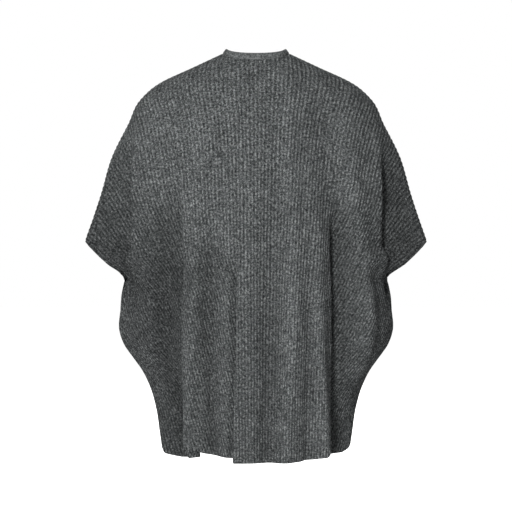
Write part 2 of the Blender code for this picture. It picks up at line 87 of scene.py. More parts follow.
# columns: height, half width at the side seam
SIDE_SEAM = [
    (-0.440, 0.266),
    (-0.470, 0.278),
    (-0.505, 0.282),
    (-0.545, 0.282),
    (-0.575, 0.269),
    (-0.600, 0.249),
    (-0.625, 0.229),
    (-0.660, 0.210),
    (-0.700, 0.198),
    (-0.750, 0.191),
    (-0.800, 0.185),
]
# columns: height, half width of the section before its sides are drawn out or in to meet the seams
BODY_LINE = [
    (0.006, 0.066),
    (-0.022, 0.126),
    (-0.054, 0.194),
    (-0.086, 0.231),
    (-0.134, 0.255),
    (-0.198, 0.285),
    (-0.278, 0.305),
    (-0.326, 0.312),
    (-0.370, 0.312),
    (-0.410, 0.304),
    (-0.440, 0.296),
    (-0.470, 0.289),
    (-0.505, 0.284),
    (-0.545, 0.282),
    (-0.575, 0.269),
    (-0.600, 0.249),
    (-0.625, 0.229),
    (-0.660, 0.210),
    (-0.700, 0.198),
    (-0.750, 0.191),
    (-0.800, 0.185),
]
# columns: height, how far the side seam sinks between the panels below the arm
SEAM_VALLEY = [
    (-0.360, 0.000),
    (-0.400, 0.001),
    (-0.440, 0.006),
    (-0.470, 0.011),
    (-0.500, 0.012),
    (-0.550, 0.009),
    (-0.600, 0.004),
    (-0.650, 0.000),
    (-0.800, 0.000),
]
# columns: height, back depth, front depth, fullness of the shoulders of the section
DEPTHS = [
    (0.006, 0.048, 0.051, 0.00),
    (-0.022, 0.062, 0.064, 0.00),
    (-0.054, 0.077, 0.078, 0.00),
    (-0.100, 0.095, 0.093, 0.00),
    (-0.180, 0.113, 0.109, 0.00),
    (-0.300, 0.121, 0.117, 0.00),
    (-0.400, 0.124, 0.119, 0.10),
    (-0.450, 0.125, 0.120, 0.34),
    (-0.550, 0.128, 0.121, 0.30),
    (-0.650, 0.130, 0.121, 0.30),
    (-0.800, 0.131, 0.120, 0.30),
]
# soft folds, columns: panel, starts at, across at start, at -0.52, at the hem, width, height at the same
# three
FOLDS = [
    ("back", -0.200, 0.174, 0.186, 0.170, 0.026, -0.003, -0.019, -0.016),
    ("back", -0.240, 0.110, 0.124, 0.142, 0.015, 0.002, 0.013, 0.014),
    ("back", -0.300, 0.086, 0.090, 0.086, 0.013, -0.002, -0.011, -0.013),
    ("back", -0.280, 0.050, 0.055, 0.060, 0.014, 0.002, 0.011, 0.006),
    ("back", -0.160, -0.043, -0.026, -0.030, 0.026, -0.002, -0.016, -0.018),
    ("back", -0.130, -0.069, -0.070, -0.055, 0.019, 0.003, 0.014, 0.013),
    ("back", -0.400, -0.103, -0.103, -0.100, 0.010, 0.000, -0.006, -0.010),
    ("back", -0.300, -0.122, -0.125, -0.136, 0.012, 0.002, 0.010, 0.014),
    ("back", -0.130, -0.135, -0.160, -0.166, 0.026, -0.006, -0.021, -0.016),
    ("back", -0.150, -0.180, -0.224, -0.190, 0.020, 0.005, 0.016, 0.003),
    ("front", -0.180, 0.060, 0.052, 0.048, 0.022, 0.002, 0.014, 0.013),
    ("front", -0.260, 0.020, 0.012, 0.006, 0.022, 0.000, -0.013, -0.016),
    ("front", -0.220, -0.034, -0.036, -0.044, 0.020, 0.000, 0.013, 0.016),
    ("front", -0.200, -0.092, -0.084, -0.080, 0.018, 0.000, -0.011, -0.010),
    ("front", -0.220, 0.098, 0.092, 0.094, 0.016, 0.000, -0.011, -0.008),
    ("front", -0.150, 0.168, 0.188, 0.172, 0.026, -0.005, -0.019, -0.014),
    ("front", -0.170, -0.172, -0.196, -0.174, 0.024, -0.005, -0.018, -0.016),
]
# pleats, columns: panel, side, starts at, full turn at, ends at, across at start, at -0.52, at the hem,
# hidden strip, ribs taken in at the hem
PLEATS = [
    ("back", 1, -0.340, -0.520, None, 0.024, 0.034, 0.041, 0.034, 9),
    ("back", 1, -0.230, -0.440, None, 0.132, 0.144, 0.153, 0.034, 10),
    ("back", -1, -0.250, -0.470, None, 0.136, 0.146, 0.155, 0.036, 18),
    ("front", 1, -0.280, -0.560, None, 0.132, 0.140, 0.146, 0.024, 12),
    ("front", -1, -0.260, -0.520, None, 0.130, 0.142, 0.150, 0.028, 12),
    ("back", 1, -0.105, -0.330, -0.480, 0.234, 0.263, 0.178, 0.010, 0),
    ("back", -1, -0.130, -0.350, -0.480, 0.238, 0.263, 0.178, 0.010, 0),
    ("front", 1, -0.140, -0.380, -0.480, 0.238, 0.257, 0.176, 0.008, 0),
    ("front", -1, -0.120, -0.360, -0.480, 0.236, 0.257, 0.176, 0.008, 0),
]
# hem heights, columns: share of the half girth, back left, back right, front left, front right
HEM = [
    (0.00, -0.797, -0.797, -0.790, -0.790),
    (0.12, -0.797, -0.797, -0.791, -0.790),
    (0.25, -0.790, -0.794, -0.788, -0.788),
    (0.40, -0.785, -0.788, -0.784, -0.783),
    (0.53, -0.773, -0.772, -0.775, -0.774),
    (0.66, -0.787, -0.785, -0.786, -0.786),
    (0.80, -0.793, -0.789, -0.789, -0.788),
    (0.90, -0.795, -0.786, -0.788, -0.783),
    (0.96, -0.790, -0.778, -0.785, -0.776),
    (1.00, -0.776, -0.762, -0.776, -0.762),
]
# ribs from the centre line to the outer end of the cuff
RIBS = {("back", 1): 61, ("back", -1): 60, ("front", 1): 58, ("front", -1): 58}
CUFF_RIBS = 2                 # more of them that start on the cuff edge
SIDE_RIBS = 12                # more of them that start on the side seam
LAST_RIB_HEIGHT = -0.70
NECK_RIBS = 10.2              # from the centre to the side of the neck
# rib spacing near the centre line, columns: height, spacing
RIB_SPACING = [
    (0.006, 0.0088),
    (-0.054, 0.0086),
    (-0.134, 0.0076),
    (-0.200, 0.0071),
    (-0.280, 0.0068),
    (-0.370, 0.0066),
    (-0.550, 0.0063),
    (-0.800, 0.0058),
]
COLUMNS_PER_RIB = 4
CUFF_COLUMN = 0.125           # share of a rib between columns on the cuff edge
# ribs from the side of the neck to the extra columns beside it
NECK_COLUMNS = (0.9, 0.6, 0.4, 0.32, 0.12, 0.06, 0.02, 0.0)
LAST_COLUMN = 0.01            # share of a rib between the last column and the seam
CROWDED = 4.0                 # most times closer that ribs lie inside a pleat
HIDDEN_FROM = 0.6             # turns past a pleat's start where ribs begin to be taken in
HIDDEN_TO = 1.6               # turns past its start and its strip where that ends
HIDDEN_FADE = 0.004           # cloth length over which the taking in comes and goes
PLEAT_GROWTH = 1.5            # power by which a pleat takes in more ribs on the way down
SEAM_CROWDING = 4             # power by which the ribs left over gather towards the seam
TOP_LINE_STEPS = 400          # steps along the over-arm line when it is measured
GIRTH_STEPS = 700             # places along a level when its ribs are counted
LEVELS = 330                  # levels at which the wales are placed
BELOW_HEM = 0.003             # how far below the hem's lowest point the last level lies
LEVEL_PASSES = 16             # times that the wales' places are smoothed from level to level
LEAST_WALE = 0.02             # shortest wale looked for, above the hem's lowest point
HALVINGS = 45                 # halvings of the interval when the top of a wale is sought
ROWS = 66
FINE = 220                    # steps along a wale when it is measured
FINE_CROWDING = 1.8           # power by which those steps crowd towards its top
SLANT_STEP = 4                # steps from the top edge over which a wale's slant to it is taken
LEAST_SLANT = 0.12            # least sine of that slant
NORMAL_STEP = 0.0004          # distance over which the slope of the cloth is measured
CUFF_MARGIN = 1e-4            # height near the cuff's ends that still counts as the seam
ON_SEAM = 1e-5                # cloth length from the end that counts as on the seam
EDGE_STEPS = (0.0, 0.0006, 0.0017, 0.0034)   # distances from an edge where its rounding is shaped
COPY_SHRINK = 0.98            # where the inner face lies for the moment, until its points are placed
COPY_DROP = -0.01


def lookup(height, rows, column):
    """Smooth curve through one column of a table whose first column is a height, top row first."""
    knots = np.array([-row[0] for row in rows])
    values = np.array([row[column] for row in rows])
    slopes = np.gradient(values, knots)
    place = np.clip(-np.asarray(height, float), knots[0], knots[-1])
    cell = np.clip(np.searchsorted(knots, place) - 1, 0, len(knots) - 2)
    span = knots[cell + 1] - knots[cell]
    t = (place - knots[cell]) / span
    rise = (2 * t**3 - 3 * t**2 + 1) * values[cell] + (3 * t**2 - 2 * t**3) * values[cell + 1]
    return rise + span * ((t**3 - 2 * t**2 + t) * slopes[cell] + (t**3 - t**2) * slopes[cell + 1])


def ease(value):
    """Smooth step from 0 to 1."""
    t = np.clip(value, 0.0, 1.0)
    return t * t * (3 - 2 * t)


def section(panel, height):
    """Half width, depth, fullness, quarter girth and the angle where the panel ends, at each height."""
    depth = lookup(height, DEPTHS, 1 if panel == "back" else 2)
    fullness = lookup(height, DEPTHS, 3)
    cuff = np.clip((TIP_HEIGHT - height) / (TIP_HEIGHT - UNDERARM_HEIGHT), 0.0, 1.0)
    bow = CUFF_REACH * np.sin(math.pi * cuff) / depth
    end_sine = np.ones_like(depth)
    for _ in range(4):
        end_sine = np.sqrt(1 - (bow / (1 + fullness * end_sine**2)) ** 2)
    half = lookup(height, BODY_LINE, 1)
    ratio = ((half - depth) / (half + depth)) ** 2
    girth = math.pi / 4 * (half + depth) * (1 + 3 * ratio / (10 + np.sqrt(4 - 3 * ratio)))
    return half, depth, fullness, girth, np.arcsin(end_sine)


def seam_half(height):
    """Distance from the centre line to the over-arm line, the cuff edge or the side seam."""
    cuff = (TIP_HEIGHT - height) / (TIP_HEIGHT - UNDERARM_HEIGHT)
    above = np.where(cuff > 0, TIP_HALF + (UNDERARM_HALF - TIP_HALF) * cuff, lookup(height, TOP_LINE, 1))
    return np.where(cuff > 1, lookup(height, SIDE_SEAM, 1), above)


def share_of(angle, half, girth):
    """Share of the quarter girth at an angle on the section, by Newton's method."""
    first = girth / half
    share = angle * 2 / math.pi
    for _ in range(6):
        error = first * share + (math.pi / 2 - first) * share**3 - angle
        share = share - error / (first + 3 * (math.pi / 2 - first) * share**2)
    return share


def across(height, start, middle, hem, start_height):
    """Distance from the centre line of a fold that passes through three places."""
    above = (height - MIDDLE_HEIGHT) / (start_height - MIDDLE_HEIGHT)
    below = (MIDDLE_HEIGHT - height) / (MIDDLE_HEIGHT - HEM_LOW)
    upper = middle + (start - middle) * ease(above)
    lower = middle + (hem - middle) * ease(below)
    return np.where(height > MIDDLE_HEIGHT, upper, lower)


def pleat_state(starts, closes, ends, strip, height):
    """How far a pleat's turns have closed, from 0 to 1, and the length of its hidden strip."""
    closed = ease((starts - height) / (starts - closes))
    grown = np.clip((closes - height) / (closes - HEM_LOW), 0.0, 1.0)
    if ends is not None:
        opens = ease((height - ends) / (UNDERARM_HEIGHT - ends))
        closed = closed * opens
        grown = ease((starts - height) / (starts - UNDERARM_HEIGHT)) * opens**2
    return np.clip(closed, OPEN_PLEAT, 1.0), LEAST_STRIP + strip * grown


def pleat_path(distance, closed, strip):
    """Travel along the section, and drop below it, at a distance past a pleat's start."""
    turn = math.pi * closed
    first = np.clip(distance / BEND, 0.0, 1.0)
    flat = np.clip(distance - BEND, 0.0, strip)
    last = np.clip((distance - BEND - strip) / BEND, 0.0, 1.0)
    left = turn * (1 - last)
    travel = BEND * (np.sin(turn * first) + np.sin(turn) - np.sin(left)) / turn + flat * np.cos(turn)
    drop = BEND * (1 - np.cos(turn * first) + np.cos(left) - np.cos(turn)) / turn + flat * np.sin(turn)
    return travel - (BEND * first + flat + BEND * last), drop


def undrawn(wanted, half, end_width, height):
    """Width on the plain section of a place that lies the wanted distance out once the side is drawn."""
    start = DRAWN_FROM * half
    span = end_width - start
    past = np.maximum(wanted - start, 0.0)
    pull = seam_half(height) - end_width
    root = np.sqrt(np.maximum(span**2 + 4 * pull * past, 0.0))
    return np.minimum(wanted, start) + 2 * past / (span + root) * span


def pleat_starts(panel, side, height):
    """Girth at which each pleat of a side begins, with its state, worked out from the centre outward."""
    half, _, _, girth, end_angle = section(panel, height)
    hidden = np.zeros_like(half)
    found = []
    rows = [row for row in PLEATS if row[:2] == (panel, side)]
    widest = half * (WIDEST_FOLD + ARM_FOLD_ROOM * ease((height - UNDERARM_HEIGHT) / ARM_FOLD_FADE))
    for _, _, starts, closes, ends, top, middle, hem, strip, _ in rows:
        wanted = across(height, top, middle, hem, starts)
        edge = np.minimum(undrawn(wanted, half, half * np.sin(end_angle), height), widest)
        angle = np.arcsin(np.clip(edge / half, 0.0, 1.0))
        start = share_of(angle, half, girth) * girth + hidden + np.maximum(edge - half, 0.0)
        closed, strip = pleat_state(starts, closes, ends, strip, height)
        found.append((start, closed, strip))
        hidden = hidden - pleat_path(2 * BEND + strip, closed, strip)[0]
    return found, hidden


def end_girth(panel, side, height):
    """Girth of the half panel at a height: from the centre line to the seam or the cuff edge."""
    half, _, _, girth, end_angle = section(panel, height)
    return share_of(end_angle, half, girth) * girth + pleat_starts(panel, side, height)[1]


def cloth_place(panel, side, distance, height):
    """Point of a panel's outer face at a distance along the cloth and a height, and how far it is raised."""
    half, depth, fullness, girth, end_angle = section(panel, height)
    travel = distance.copy()
    drop = np.zeros_like(travel)
    for start, closed, strip in pleat_starts(panel, side, height)[0]:
        shift, fall = pleat_path(np.maximum(distance - start, 0.0), closed, strip)
        travel = travel + shift
        drop = drop + fall
    share = travel / girth
    first = girth / half
    angle = first * share + (math.pi / 2 - first) * share**3
    sine, cosine = np.sin(angle), np.cos(angle)
    width = half * sine
    reach = depth * cosine * (1 + fullness * sine**2)
    run = half * cosine
    fall_away = depth * sine * (1 + fullness * sine**2) - 2 * fullness * depth * sine * cosine**2
    length = np.sqrt(run**2 + fall_away**2)
    lift = np.zeros_like(travel)
    for _, starts, top, middle, hem, spread, *heights in [row for row in FOLDS if row[0] == panel]:
        centre = across(height, top, middle, hem, starts)
        rise = np.interp(-height, [-starts, -MIDDLE_HEIGHT, -HEM_LOW], heights)
        rise = rise * ease((starts + FOLD_LEAD - height) / FOLD_GROWTH)
        lift = lift + rise * np.exp(-(((side * width - centre) / spread) ** 2))
    raised = lift * ease((1 - sine) / LIFT_FADE) - drop
    lift = raised * ease((1 - share) / SIDE_FADE)
    sideways = lift * ease((1 - share / share_of(end_angle, half, girth)) / SIDEWAYS_FADE)
    sink = lookup(height, SEAM_VALLEY, 1) * ease((share - VALLEY_FROM) / VALLEY_SPAN)
    end_width = half * np.sin(end_angle)
    drawn = np.clip((width - DRAWN_FROM * half) / (end_width - DRAWN_FROM * half), 0.0, 1.0) ** 2
    x = width + (seam_half(height) - end_width) * drawn + (sideways - sink) * fall_away / length
    y = reach + (lift - sink) * run / length
    facing = 1 if panel == "back" else -1
    return np.stack([side * x, facing * y, height], axis=-1), raised


def cloth_point(panel, side, distance, height):
    """Point of a panel's outer face at a distance along the cloth from the centre line and a height."""
    return cloth_place(panel, side, distance, height)[0]


def ribs_to_seam(panel, side, height):
    """How many ribs lie between the centre line and the seam at a height. More start on every seam."""
    heights = np.linspace(NECK_TOP, TIP_HEIGHT, TOP_LINE_STEPS)
    along = np.cumsum(np.hypot(np.gradient(lookup(heights, TOP_LINE, 1)), np.gradient(heights)))
    share = np.interp(-height, -heights, (along - along[0]) / (along[-1] - along[0]))
    past_tip = np.clip((TIP_HEIGHT - height) / (TIP_HEIGHT - UNDERARM_HEIGHT), 0.0, 1.0)
    past_arm = ease((UNDERARM_HEIGHT - height) / (UNDERARM_HEIGHT - LAST_RIB_HEIGHT))
    extra = CUFF_RIBS * past_tip + SIDE_RIBS * past_arm
    return NECK_RIBS + (RIBS[(panel, side)] - NECK_RIBS) * share + extra


def counted_ribs(panel, side, height):
    """A level cut from the centre line to the seam: girths, and how many ribs lie within each of them.

    Ribs are spread by the cloth's real length, so that they keep their spacing. Where it is hidden in a pleat
    it takes in as many as the pleat's row tells, up to the stated crowding. The rest gather towards the seam.
    """
    here = np.array(height)
    spacing = float(lookup(here, RIB_SPACING, 1))
    girths = np.linspace(0.0, float(end_girth(panel, side, here)), GIRTH_STEPS)
    points = cloth_point(panel, side, girths, np.full_like(girths, height))
    weights = np.linalg.norm(np.diff(points, axis=0), axis=1) / spacing
    middles = (girths[1:] + girths[:-1]) / 2
    pleats = [row for row in PLEATS if row[:2] == (panel, side)]
    for pleat, (start, closed, strip) in zip(pleats, pleat_starts(panel, side, here)[0]):
        entered = ease((middles - start - BEND * HIDDEN_FROM) / HIDDEN_FADE)
        not_left = ease((start + BEND * HIDDEN_TO + strip - middles) / HIDDEN_FADE)
        taken = weights * (entered * not_left) * closed
        wanted = pleat[9] * np.clip((pleat[2] - height) / (pleat[2] - HEM_LOW), 0.0, 1.0) ** PLEAT_GROWTH
        if wanted > 0:
            weights = weights + taken * (min(wanted / (taken.sum() + 1e-6), CROWDED) - 1)
    counted = np.concatenate([[0.0], np.cumsum(weights)])
    over = float(ribs_to_seam(panel, side, here)) - counted[-1]
    return girths, counted + over * (counted / counted[-1]) ** SEAM_CROWDING


def wale_paths(panel, side, ribs):
    """Where every wale lies: its distance along the cloth at each of many levels."""
    levels = np.linspace(NECK_TOP, HEM_LOW - BELOW_HEM, LEVELS)
    paths = []
    for height in levels:
        girths, counted = counted_ribs(panel, side, height)
        paths.append(np.interp(ribs, counted, girths))
    return levels, smoothed_levels(np.array(paths))


def smoothed_levels(paths):
    """The wales' places with small unevenness from level to level taken out."""
    for _ in range(LEVEL_PASSES):
        paths[1:-1] = (paths[:-2] + 2 * paths[1:-1] + paths[2:]) / 4
    return paths


def wale_girth(panel, side, paths, heights):
    """Distance along the cloth from the centre line to each wale, a row of heights for each."""
    levels, places = paths
    found = np.empty_like(heights)
    for number in range(len(heights)):
        found[number] = np.interp(-heights[number], -levels, places[:, number])
    return np.minimum(found, end_girth(panel, side, heights))


def wale_tops(panel, side, ribs, paths):
    """Height at which each wale starts, on the neck edge or on a seam, by bisection."""
    low = np.full((len(ribs), 1), HEM_LOW + LEAST_WALE)
    high = np.full((len(ribs), 1), NECK_TOP)
    for _ in range(HALVINGS):
        middle = (low + high) / 2
        inside = ribs[:, None] < ribs_to_seam(panel, side, middle)
        half = np.abs(cloth_point(panel, side, wale_girth(panel, side, paths, middle), middle)[..., 0])
        edge = NECK_TOP - NECK_DROPS[panel] * np.sqrt(np.maximum(0.0, 1 - (half / NECK_HALF) ** 2))
        inside &= (half >= NECK_HALF) | (middle < edge)
        low = np.where(inside, middle, low)
        high = np.where(inside, high, middle)
    return low[:, 0]


def wale_columns(panel, side):
    """Rib numbers of the mesh's columns from the centre out, closer beside the neck and along the cuff."""
    cuff = RIBS[(panel, side)]
    last = cuff + CUFF_RIBS + SIDE_RIBS
    ribs = np.arange(0, last * COLUMNS_PER_RIB) / COLUMNS_PER_RIB
    on_cuff = cuff + np.arange(0, CUFF_RIBS, CUFF_COLUMN)
    beside_neck = NECK_RIBS - np.array(NECK_COLUMNS)
    return np.unique(np.concatenate([ribs, on_cuff, beside_neck, [last - LAST_COLUMN]]))


def unit(vectors):
    """The same vectors, each 1 long."""
    return vectors / np.linalg.norm(vectors, axis=-1, keepdims=True)


def outward(panel, side, girths, heights):
    """Outward unit normal of the cloth at each point, level on the seams so that both panels meet."""
    below = heights - NORMAL_STEP
    here = cloth_point(panel, side, girths, heights)
    along = here - cloth_point(panel, side, girths - NORMAL_STEP, heights)
    up = here - cloth_point(panel, side, girths, below)
    normals = np.cross(up, along) * side * (1 if panel == "back" else -1)
    normals = unit(normals)
    ends = end_girth(panel, side, heights)
    rise = cloth_point(panel, side, ends, heights)
    rise = rise - cloth_point(panel, side, end_girth(panel, side, below), below)
    level = np.stack([rise[..., 2] * side, np.zeros_like(heights), -rise[..., 0] * side], axis=-1)
    level = unit(level)
    beside_cuff = (heights < TIP_HEIGHT - CUFF_MARGIN) & (heights > UNDERARM_HEIGHT + CUFF_MARGIN)
    on_seam = (girths > ends - ON_SEAM) & ~beside_cuff
    return np.where(on_seam[..., None], level, normals)


def half_panel(panel, side):
    """Outer points, heights raised, normals, rib numbers and wale lengths of a half panel, column by row."""
    ribs = wale_columns(panel, side)
    paths = wale_paths(panel, side, ribs)
    tops = wale_tops(panel, side, ribs, paths)
    low = np.array(HEM_LOW)
    at_hem = wale_girth(panel, side, paths, np.full((len(ribs), 1), HEM_LOW))[:, 0]
    shares = at_hem / end_girth(panel, side, low)
    column = 1 + (0 if panel == "back" else 2) + (0 if side > 0 else 1)
    hems = np.interp(shares, [row[0] for row in HEM], [row[column] for row in HEM])
    steps = np.linspace(0, 1, FINE) ** FINE_CROWDING
    fine = tops[:, None] + (hems - tops)[:, None] * steps
    fine_points = cloth_point(panel, side, wale_girth(panel, side, paths, fine), fine)
    lengths = np.cumsum(np.linalg.norm(np.diff(fine_points, axis=1), axis=2), axis=1)
    lengths = np.concatenate([np.zeros((len(ribs), 1)), lengths], axis=1)
    edge_run = unit(np.gradient(fine_points[:, 0], axis=0))
    wale_run = unit(fine_points[:, SLANT_STEP] - fine_points[:, 0])
    slant = np.linalg.norm(np.cross(edge_run, wale_run), axis=1)
    edges = np.array(EDGE_STEPS)
    heights = []
    along = []
    for number in range(len(ribs)):
        whole = lengths[number, -1]
        top_edges = edges / max(slant[number], LEAST_SLANT)
        middle = np.linspace(top_edges[-1], whole - edges[-1], ROWS)[1:-1]
        wanted = np.concatenate([top_edges, middle, whole - edges[::-1]])
        heights.append(np.interp(wanted, lengths[number], fine[number]))
        along.append(whole - wanted)
    heights = np.array(heights)
    girths = wale_girth(panel, side, paths, heights)
    girths[:, 0] = np.where(ribs < NECK_RIBS, girths[:, 0], end_girth(panel, side, heights[:, 0]))
    girths[-1] = end_girth(panel, side, heights[-1])
    points, raised = cloth_place(panel, side, girths, heights)
    return {
        "points": points,
        "raised": raised,
        "normals": outward(panel, side, girths, heights),
        "ribs": np.repeat(ribs[:, None], heights.shape[1], axis=1) * side,
        "along": np.array(along),
    }


def edge_rounding(cells):
    """Share of the cloth's full thickness left at each point, rounding off every edge."""
    points = cells["points"]
    steps = np.array(EDGE_STEPS)
    reach = steps[-1]
    share = np.sqrt(np.clip(1 - (1 - steps / reach) ** 2, 0.0, 1.0))
    rounding = np.ones(points.shape[:2])
    for number, part in enumerate(share):
        for row in (number, points.shape[1] - 1 - number):
            rounding[:, row] = np.minimum(rounding[:, row], part)
        for column in (number, points.shape[0] - 1 - number):
            rounding[column] = np.minimum(rounding[column], part)
    return rounding


def whole_panel(panel):
    """Outer and inner faces of a whole panel with its ribs, from the wearer's right, and its cells."""
    left = half_panel(panel, 1)
    right = half_panel(panel, -1)
    cells = {key: np.concatenate([right[key][:0:-1], left[key]]) for key in left}
    rounding = edge_rounding(cells)[..., None]
    relief = np.cos(cells["ribs"] * math.tau)[..., None] * RIB_HEIGHT * rounding
    middle = cells["points"] - cells["normals"] * CLOTH / 2
    middle[..., 1] += SEAM_GAP / 2 if panel == "back" else -SEAM_GAP / 2
    outer = middle + cells["normals"] * (relief + CLOTH / 2 * rounding)
    inner = middle + cells["normals"] * (relief - CLOTH / 2 * rounding)
    return outer, inner, cells


def sewn_wall(name, outer, inner, pattern, ring=False):
    """A closed wall between two grids of points, with its knit, and its folds' heights for the painted fold
    shade, as two UV maps.
    """
    count, rows = outer.shape[:2]
    shape = bmesh.new()
    if ring:
        bmesh.ops.create_cone(shape, cap_ends=False, segments=count, radius1=1, radius2=1, depth=1)
        cuts = rows - 2
        if cuts:
            upright = [edge for edge in shape.edges if abs(edge.verts[0].co.z - edge.verts[1].co.z) > 0.5]
            bmesh.ops.subdivide_edges(shape, edges=upright, cuts=cuts, use_grid_fill=True)
    else:
        bmesh.ops.create_grid(shape, x_segments=count - 1, y_segments=rows - 1, size=1)
    line_of = shape.verts.layers.int.new("line")
    row_of = shape.verts.layers.int.new("row")
    inside = shape.verts.layers.int.new("inside")
    for vertex in shape.verts:
        x, y, z = vertex.co
        if ring:
            vertex[line_of] = round(math.atan2(y, x) / math.tau * count) % count
            vertex[row_of] = round((z + 0.5) * (rows - 1))
        else:
            vertex[line_of] = round((x + 1) / 2 * (count - 1))
            vertex[row_of] = round((1 - y) / 2 * (rows - 1))
    copied = bmesh.ops.duplicate(shape, geom=shape.verts[:] + shape.edges[:] + shape.faces[:])["geom"]
    bmesh.ops.reverse_faces(shape, faces=[item for item in copied if isinstance(item, bmesh.types.BMFace)])
    for item in copied:
        if isinstance(item, bmesh.types.BMVert):
            item[inside] = 1
            x, y, z = item.co
            item.co = (x * COPY_SHRINK, y * COPY_SHRINK, z) if ring else (x, y, COPY_DROP)
    for rim_row in ((0, rows - 1) if ring else (None,)):
        rim = [edge for edge in shape.edges if edge.is_boundary]
        if ring:
            rim = [edge for edge in rim if all(vertex[row_of] == rim_row for vertex in edge.verts)]
        bmesh.ops.bridge_loops(shape, edges=rim)
    for vertex in shape.verts:
        grid = inner if vertex[inside] else outer
        vertex.co = grid[vertex[line_of]][vertex[row_of]]
    bmesh.ops.recalc_face_normals(shape, faces=shape.faces[:])
    if shape.calc_volume(signed=True) < 0:
        bmesh.ops.reverse_faces(shape, faces=shape.faces[:])
    across_map, along_map, raised_map = pattern
    knit_map = shape.loops.layers.uv.new("knit")
    fold_map = shape.loops.layers.uv.new("folds")
    for face in shape.faces:
        seam = ring and max(v[line_of] for v in face.verts) - min(v[line_of] for v in face.verts) > 1
        for loop in face.loops:
            line, row = loop.vert[line_of], loop.vert[row_of]
            past = count if seam and line == 0 else line
            loop[knit_map].uv = (across_map(past, row), along_map(past, row))
            loop[fold_map].uv = (raised_map(line, row), 0.0)
    mesh = bpy.data.meshes.new(name)
    shape.to_mesh(mesh)
    shape.free()
    mesh.shade_smooth()
    piece = bpy.data.objects.new(name, mesh)
    bpy.context.scene.collection.objects.link(piece)
    return piece


def node(material, kind, at, **values):
    """A node of a material, at a place in its layout, with its settings and unlinked inputs."""
    made = material.node_tree.nodes.new(kind)
    made.location = at
    for key, value in values.items():
        if key in made.inputs:
            made.inputs[key].default_value = value
        else:
            setattr(made, key, value)
    return made


# shader inputs of dull wool, with a little light caught by its loose fibres
WOOL = {
    "Roughness": 0.95,
    "Specular IOR Level": 0.10,
    "Sheen Weight": 0.07,
    "Sheen Roughness": 0.35,
    "Sheen Tint": (0.78, 0.81, 0.82, 1),
}
YARN_WANDER = 0.55            # how far the yarn wanders from side to side, in ribs
STITCH_LENGTH = 0.0052
STITCH_SLANT = 1.1            # stitches that one stitch rises by across a rib
FINE_HAIRS = 0.30             # share of the finer hairs in the heather
PAINTED_VALLEY_SHADE = 0.62           # painted shade between the ribs and painted light on them, as shares of the wool's colour
PAINTED_RIB_LIGHT = 1.10
PATCH_SHADES = (0.86, 1.14)   # darkest and palest patches
PAINTED_FOLD_SHADES = (0.50, 1.50)    # painted shade in the deepest hollows and painted light on the highest ridges of the folds
# heather colours, columns: place on the ramp, colour
HEATHER = [
    (0.36, (0.022, 0.0245, 0.0255, 1)),
    (0.50, (0.094, 0.100, 0.101, 1)),
    (0.66, (0.33, 0.345, 0.345, 1)),
]
STITCH_BUMP = 0.20            # height of the stitches and of the fibres, as shares of a rib's
FIBRE_BUMP = 1.6


def wool(name):
    """A new material of dull wool, and its shader."""
    material = bpy.data.materials.new(name)
    material.use_nodes = True
    shader = material.node_tree.nodes["Principled BSDF"]
    for key, value in WOOL.items():
        shader.inputs[key].default_value = value
    return material, shader


def heather_ramp(material, at, colours):
    """A colour ramp with an element for each row of a table of colours."""
    ramp = node(material, "ShaderNodeValToRGB", at)
    ends = ramp.color_ramp.elements
    ends[0].position, ends[0].color = colours[0]
    ends[1].position, ends[1].color = colours[-1]
    for place, colour in colours[1:-1]:
        ends.new(place).color = colour
    return ramp


